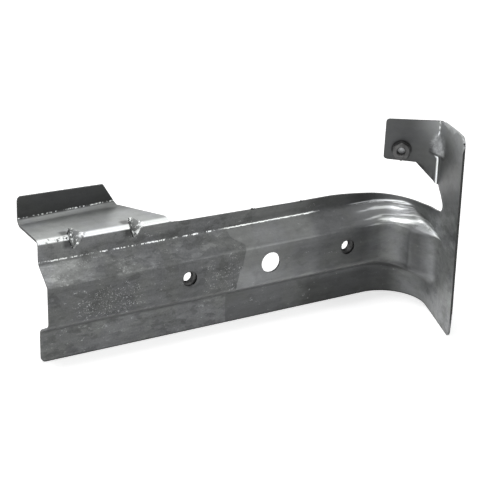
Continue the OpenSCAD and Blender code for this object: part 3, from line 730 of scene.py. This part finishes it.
# Sizes in metres. Each nut stands on its place with its axis away from the sheet, one corner towards "corner"
tabTurn = math.radians(36)
webNutSize = {"flats": 0.014, "height": 0.005, "bore": 0.0069, "pitch": 0.00125}
tabNutSize = {"flats": 0.011, "height": 0.005, "bore": 0.0052, "pitch": 0.001}
nuts = {
    "webNutLeft": {"node": "web_nut_left", "look": webNutMaterial, "place": (-0.06, 0.0015, 0.0),
                   "axis": (0, 1, 0), "corner": (1, 0, 0), **webNutSize},
    "webNutRight": {"node": "web_nut_right", "look": webNutMaterial, "place": (0.06, 0.0015, 0.0),
                    "axis": (0, 1, 0), "corner": (1, 0, 0), **webNutSize},
    "tabNut": {"node": "tab_nut", "look": tabNutMaterial, "place": sheetSpots["tabNut"],
               "axis": (-math.sin(tabTurn), -math.cos(tabTurn), 0), "corner": (0, 0, 1), **tabNutSize},
}
nutShape = {
    "columns": 72,
    "bevel": 0.0006,
    "faceIn": 0.0004,
    "cornerRound": 0.00012,
    "rowsPerPitch": 10,
    "threadDepth": 0.44,    # share of the pitch
    "threadFlank": 2.6,
    "threadCrest": 0.3,
    "runOut": 1.05,         # the lowest ring is this much deeper than the thread
    "merge": 1e-7,
    "sharpAngle": 28.0,
}

def makeNut(name, n, p):
    hexR = n["flats"] / 2
    cornerR = hexR / math.cos(math.pi / 6)
    faceR = hexR - p["faceIn"] / 2
    boreR = n["bore"] / 2
    depth = n["pitch"] * p["threadDepth"]
    h = n["height"]

    def sideR(a):
        part = (a + math.pi / 6) % (math.pi / 3) - math.pi / 6
        return min(hexR / math.cos(math.pi / 6 - abs(part)), cornerR - p["cornerRound"])

    def threadR(a, z):   # a helix cut into the bore
        turn = (z / n["pitch"] - a / (2 * math.pi)) % 1.0
        cut = max(0.0, min(1.0, abs(turn - 0.5) * p["threadFlank"] - p["threadCrest"]))
        return boreR + depth * (1 - cut)

    def around(v):   # order round the axis
        return math.atan2(v.co.y, v.co.x) % (2 * math.pi - 1e-6)

    bm = bmesh.new()
    bmesh.ops.create_circle(bm, cap_ends=False, segments=p["columns"], radius=boreR)
    ring = sorted(bm.verts, key=around)
    angles = [math.atan2(v.co.y, v.co.x) for v in ring]
    first = ring
    start = p["bevel"] * 0.5

    def shapeRing(verts, radius, height):
        for v, a in zip(verts, angles):
            r = radius(a)
            v.co = (r * math.cos(a), r * math.sin(a), height(a, r))

    def nextRing(verts, radius, height):
        keep = set(verts)
        edges = [e for e in {e for v in verts for e in v.link_edges} if keep.issuperset(e.verts)]
        made = bmesh.ops.extrude_edge_only(bm, edges=edges)["geom"]
        fresh = [g for g in made if isinstance(g, bmesh.types.BMVert)]
        fresh = sorted(fresh, key=around)
        shapeRing(fresh, radius, height)
        return fresh

    shapeRing(ring, lambda a: boreR + depth * p["runOut"], lambda a, r: 0.0)
    steps = [
        (sideR, lambda a, r: 0.0),
        (sideR, lambda a, r: h - p["bevel"] * (r - faceR) / (cornerR - faceR)),
        (lambda a: faceR, lambda a, r: h),
        (lambda a: (faceR + boreR + p["bevel"]) / 2, lambda a, r: h),
        (lambda a: boreR + p["bevel"], lambda a, r: h),
    ]
    rows = int(round((h - start) / n["pitch"] * p["rowsPerPitch"]))
    for i in range(rows + 1):
        z = (h - start) * (1 - i / rows)
        steps.append((lambda a, z=z: threadR(a, z), lambda a, r, z=z: z))
    for radius, height in steps:
        ring = nextRing(ring, radius, height)
    for a, b in zip(ring, first):   # the last ring closes on the first one
        a.co = b.co
    bmesh.ops.remove_doubles(bm, verts=bm.verts, dist=p["merge"])
    bmesh.ops.recalc_face_normals(bm, faces=bm.faces)
    axis = Vector(n["axis"])
    corner = Vector(n["corner"])
    side = axis.cross(corner)
    move = Matrix((corner, side, axis)).transposed().to_4x4()
    move.translation = n["place"]
    bmesh.ops.transform(bm, matrix=move, verts=bm.verts)
    for f in bm.faces:
        f.smooth = True
    mesh = bpy.data.meshes.new(name)
    bm.to_mesh(mesh)
    bm.free()
    mesh.set_sharp_from_angle(angle=math.radians(p["sharpAngle"]))
    mesh.materials.append(n["look"])
    nut = bpy.data.objects.new(name, mesh)
    bpy.context.scene.collection.objects.link(nut)
    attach(nut, "root")
    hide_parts(n["node"])

for name, n in nuts.items():
    makeNut(name, n, nutShape)
print("stage: weld nuts")

# Burrs left by the shears on the free edge
burrs = {
    "seed": 5,
    "spots": (   # place and size of each
        (-0.0067, 0.0152, 0.0335, 0.0007),
        (-0.0050, 0.0150, 0.0335, 0.0004),
        (0.0131, 0.0151, 0.0329, 0.0004),
        (0.0308, 0.0152, 0.0329, 0.0006),
        (0.0325, 0.0150, 0.0329, 0.0004),
        (0.0700, 0.0152, 0.0312, 0.0004),
    ),
    "smallest": 0.75,
    "swing": 0.5,
    "squash": (1.4, 0.9, 0.8),
    "lift": 0.2,
}

def makeBurrs(p):
    rnd = random.Random(p["seed"])
    bm = bmesh.new()
    for x, y, z, size in p["spots"]:
        made = bmesh.ops.create_icosphere(bm, subdivisions=2, radius=size)["verts"]
        for v in made:
            v.co *= p["smallest"] + p["swing"] * rnd.random()
        bmesh.ops.scale(bm, vec=p["squash"], verts=made)
        bmesh.ops.translate(bm, vec=(x, y, z + size * p["lift"]), verts=made)
    for f in bm.faces:
        f.smooth = True
    mesh = bpy.data.meshes.new("edgeBurrs")
    bm.to_mesh(mesh)
    bm.free()
    mesh.materials.append(tabNutMaterial)
    piece = bpy.data.objects.new("edgeBurrs", mesh)
    bpy.context.scene.collection.objects.link(piece)
    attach(piece, "root")

makeBurrs(burrs)
print("stage: burrs")

# The sheet as it is seen: a merged copy of the solid, cut finer and eased where the press draws it
skin = {
    "merge": 1e-6,
    "cornerAngle": 36.0,
    "pinAngle": 50.0,
    "zones": (   # the curve, the dart of the fold and the two dents
        {"low": (0.046, -0.046, -0.046), "high": (0.118, 0.020, 0.036),
         "cell": 0.0024, "passes": 9, "pinned": True},
        {"low": (0.098, -0.043, 0.0645), "high": (0.114, -0.021, 0.088),
         "cell": 0.0012, "passes": 22, "pinned": False},
        {"low": (-0.142, 0.010, 0.026), "high": (-0.124, 0.032, 0.040),
         "cell": 0.0012, "passes": 3, "pinned": False},
        {"low": (-0.101, 0.010, 0.026), "high": (-0.083, 0.032, 0.040),
         "cell": 0.0012, "passes": 3, "pinned": False},
    ),
}

def reaches(face, low, high):
    for i in range(3):
        values = [v.co[i] for v in face.verts]
        if max(values) < low[i] or min(values) > high[i]:
            return False
    return True

def cutCells(bm, low, high, cell, near):   # planes across each axis, through the zone only
    geom = [f for f in bm.faces if reaches(f, low, high)]
    geom += list({e for f in geom for e in f.edges}) + list({v for f in geom for v in f.verts})
    for i in range(3):
        for k in range(int((high[i] - low[i]) / cell) + 1):
            at = low[i] + k * cell
            spot = [at if j == i else 0.0 for j in range(3)]
            across = [1.0 if j == i else 0.0 for j in range(3)]
            geom = bmesh.ops.bisect_plane(bm, geom=geom, dist=near, plane_co=spot, plane_no=across)["geom"]

def easeZone(bm, zone, pinAngle):   # sharp edges stay where they are in a pinned zone
    low, high = zone["low"], zone["high"]
    free = [v for v in bm.verts if all(low[i] < v.co[i] < high[i] for i in range(3))]
    if zone["pinned"]:
        limit = math.radians(pinAngle)
        free = [v for v in free if max(e.calc_face_angle(0.0) for e in v.link_edges) < limit]
    for _ in range(zone["passes"]):
        bmesh.ops.smooth_vert(bm, verts=free, factor=0.5, use_axis_x=True, use_axis_y=True, use_axis_z=True)

def makeSkin(p):
    bm = bmesh.new()
    bm.from_mesh(nodes["bracket"].data)
    bmesh.ops.remove_doubles(bm, verts=bm.verts, dist=p["merge"])
    for zone in p["zones"]:
        cutCells(bm, zone["low"], zone["high"], zone["cell"], p["merge"])
    for zone in p["zones"]:
        easeZone(bm, zone, p["pinAngle"])
    bmesh.ops.recalc_face_normals(bm, faces=bm.faces)
    for f in bm.faces:
        f.smooth = True
    mesh = bpy.data.meshes.new("pressedBracket")
    bm.to_mesh(mesh)
    bm.free()
    mesh.set_sharp_from_angle(angle=math.radians(p["cornerAngle"]))
    mesh.materials.append(sheetMaterial)
    piece = bpy.data.objects.new("pressedBracket", mesh)
    bpy.context.scene.collection.objects.link(piece)
    flatten = piece.modifiers.new("flatFaces", "WEIGHTED_NORMAL")   # flat faces stay flat beside the bends
    flatten.keep_sharp = True
    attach(piece, "root")
    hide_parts("bracket")

makeSkin(skin)
print("stage: sheet")

# The solids carry the sheet's material, or the tab nut's steel for all the others
for name, obj in nodes.items():
    obj.data.materials.clear()
    obj.data.materials.append(sheetMaterial if name == "bracket" else tabNutMaterial)
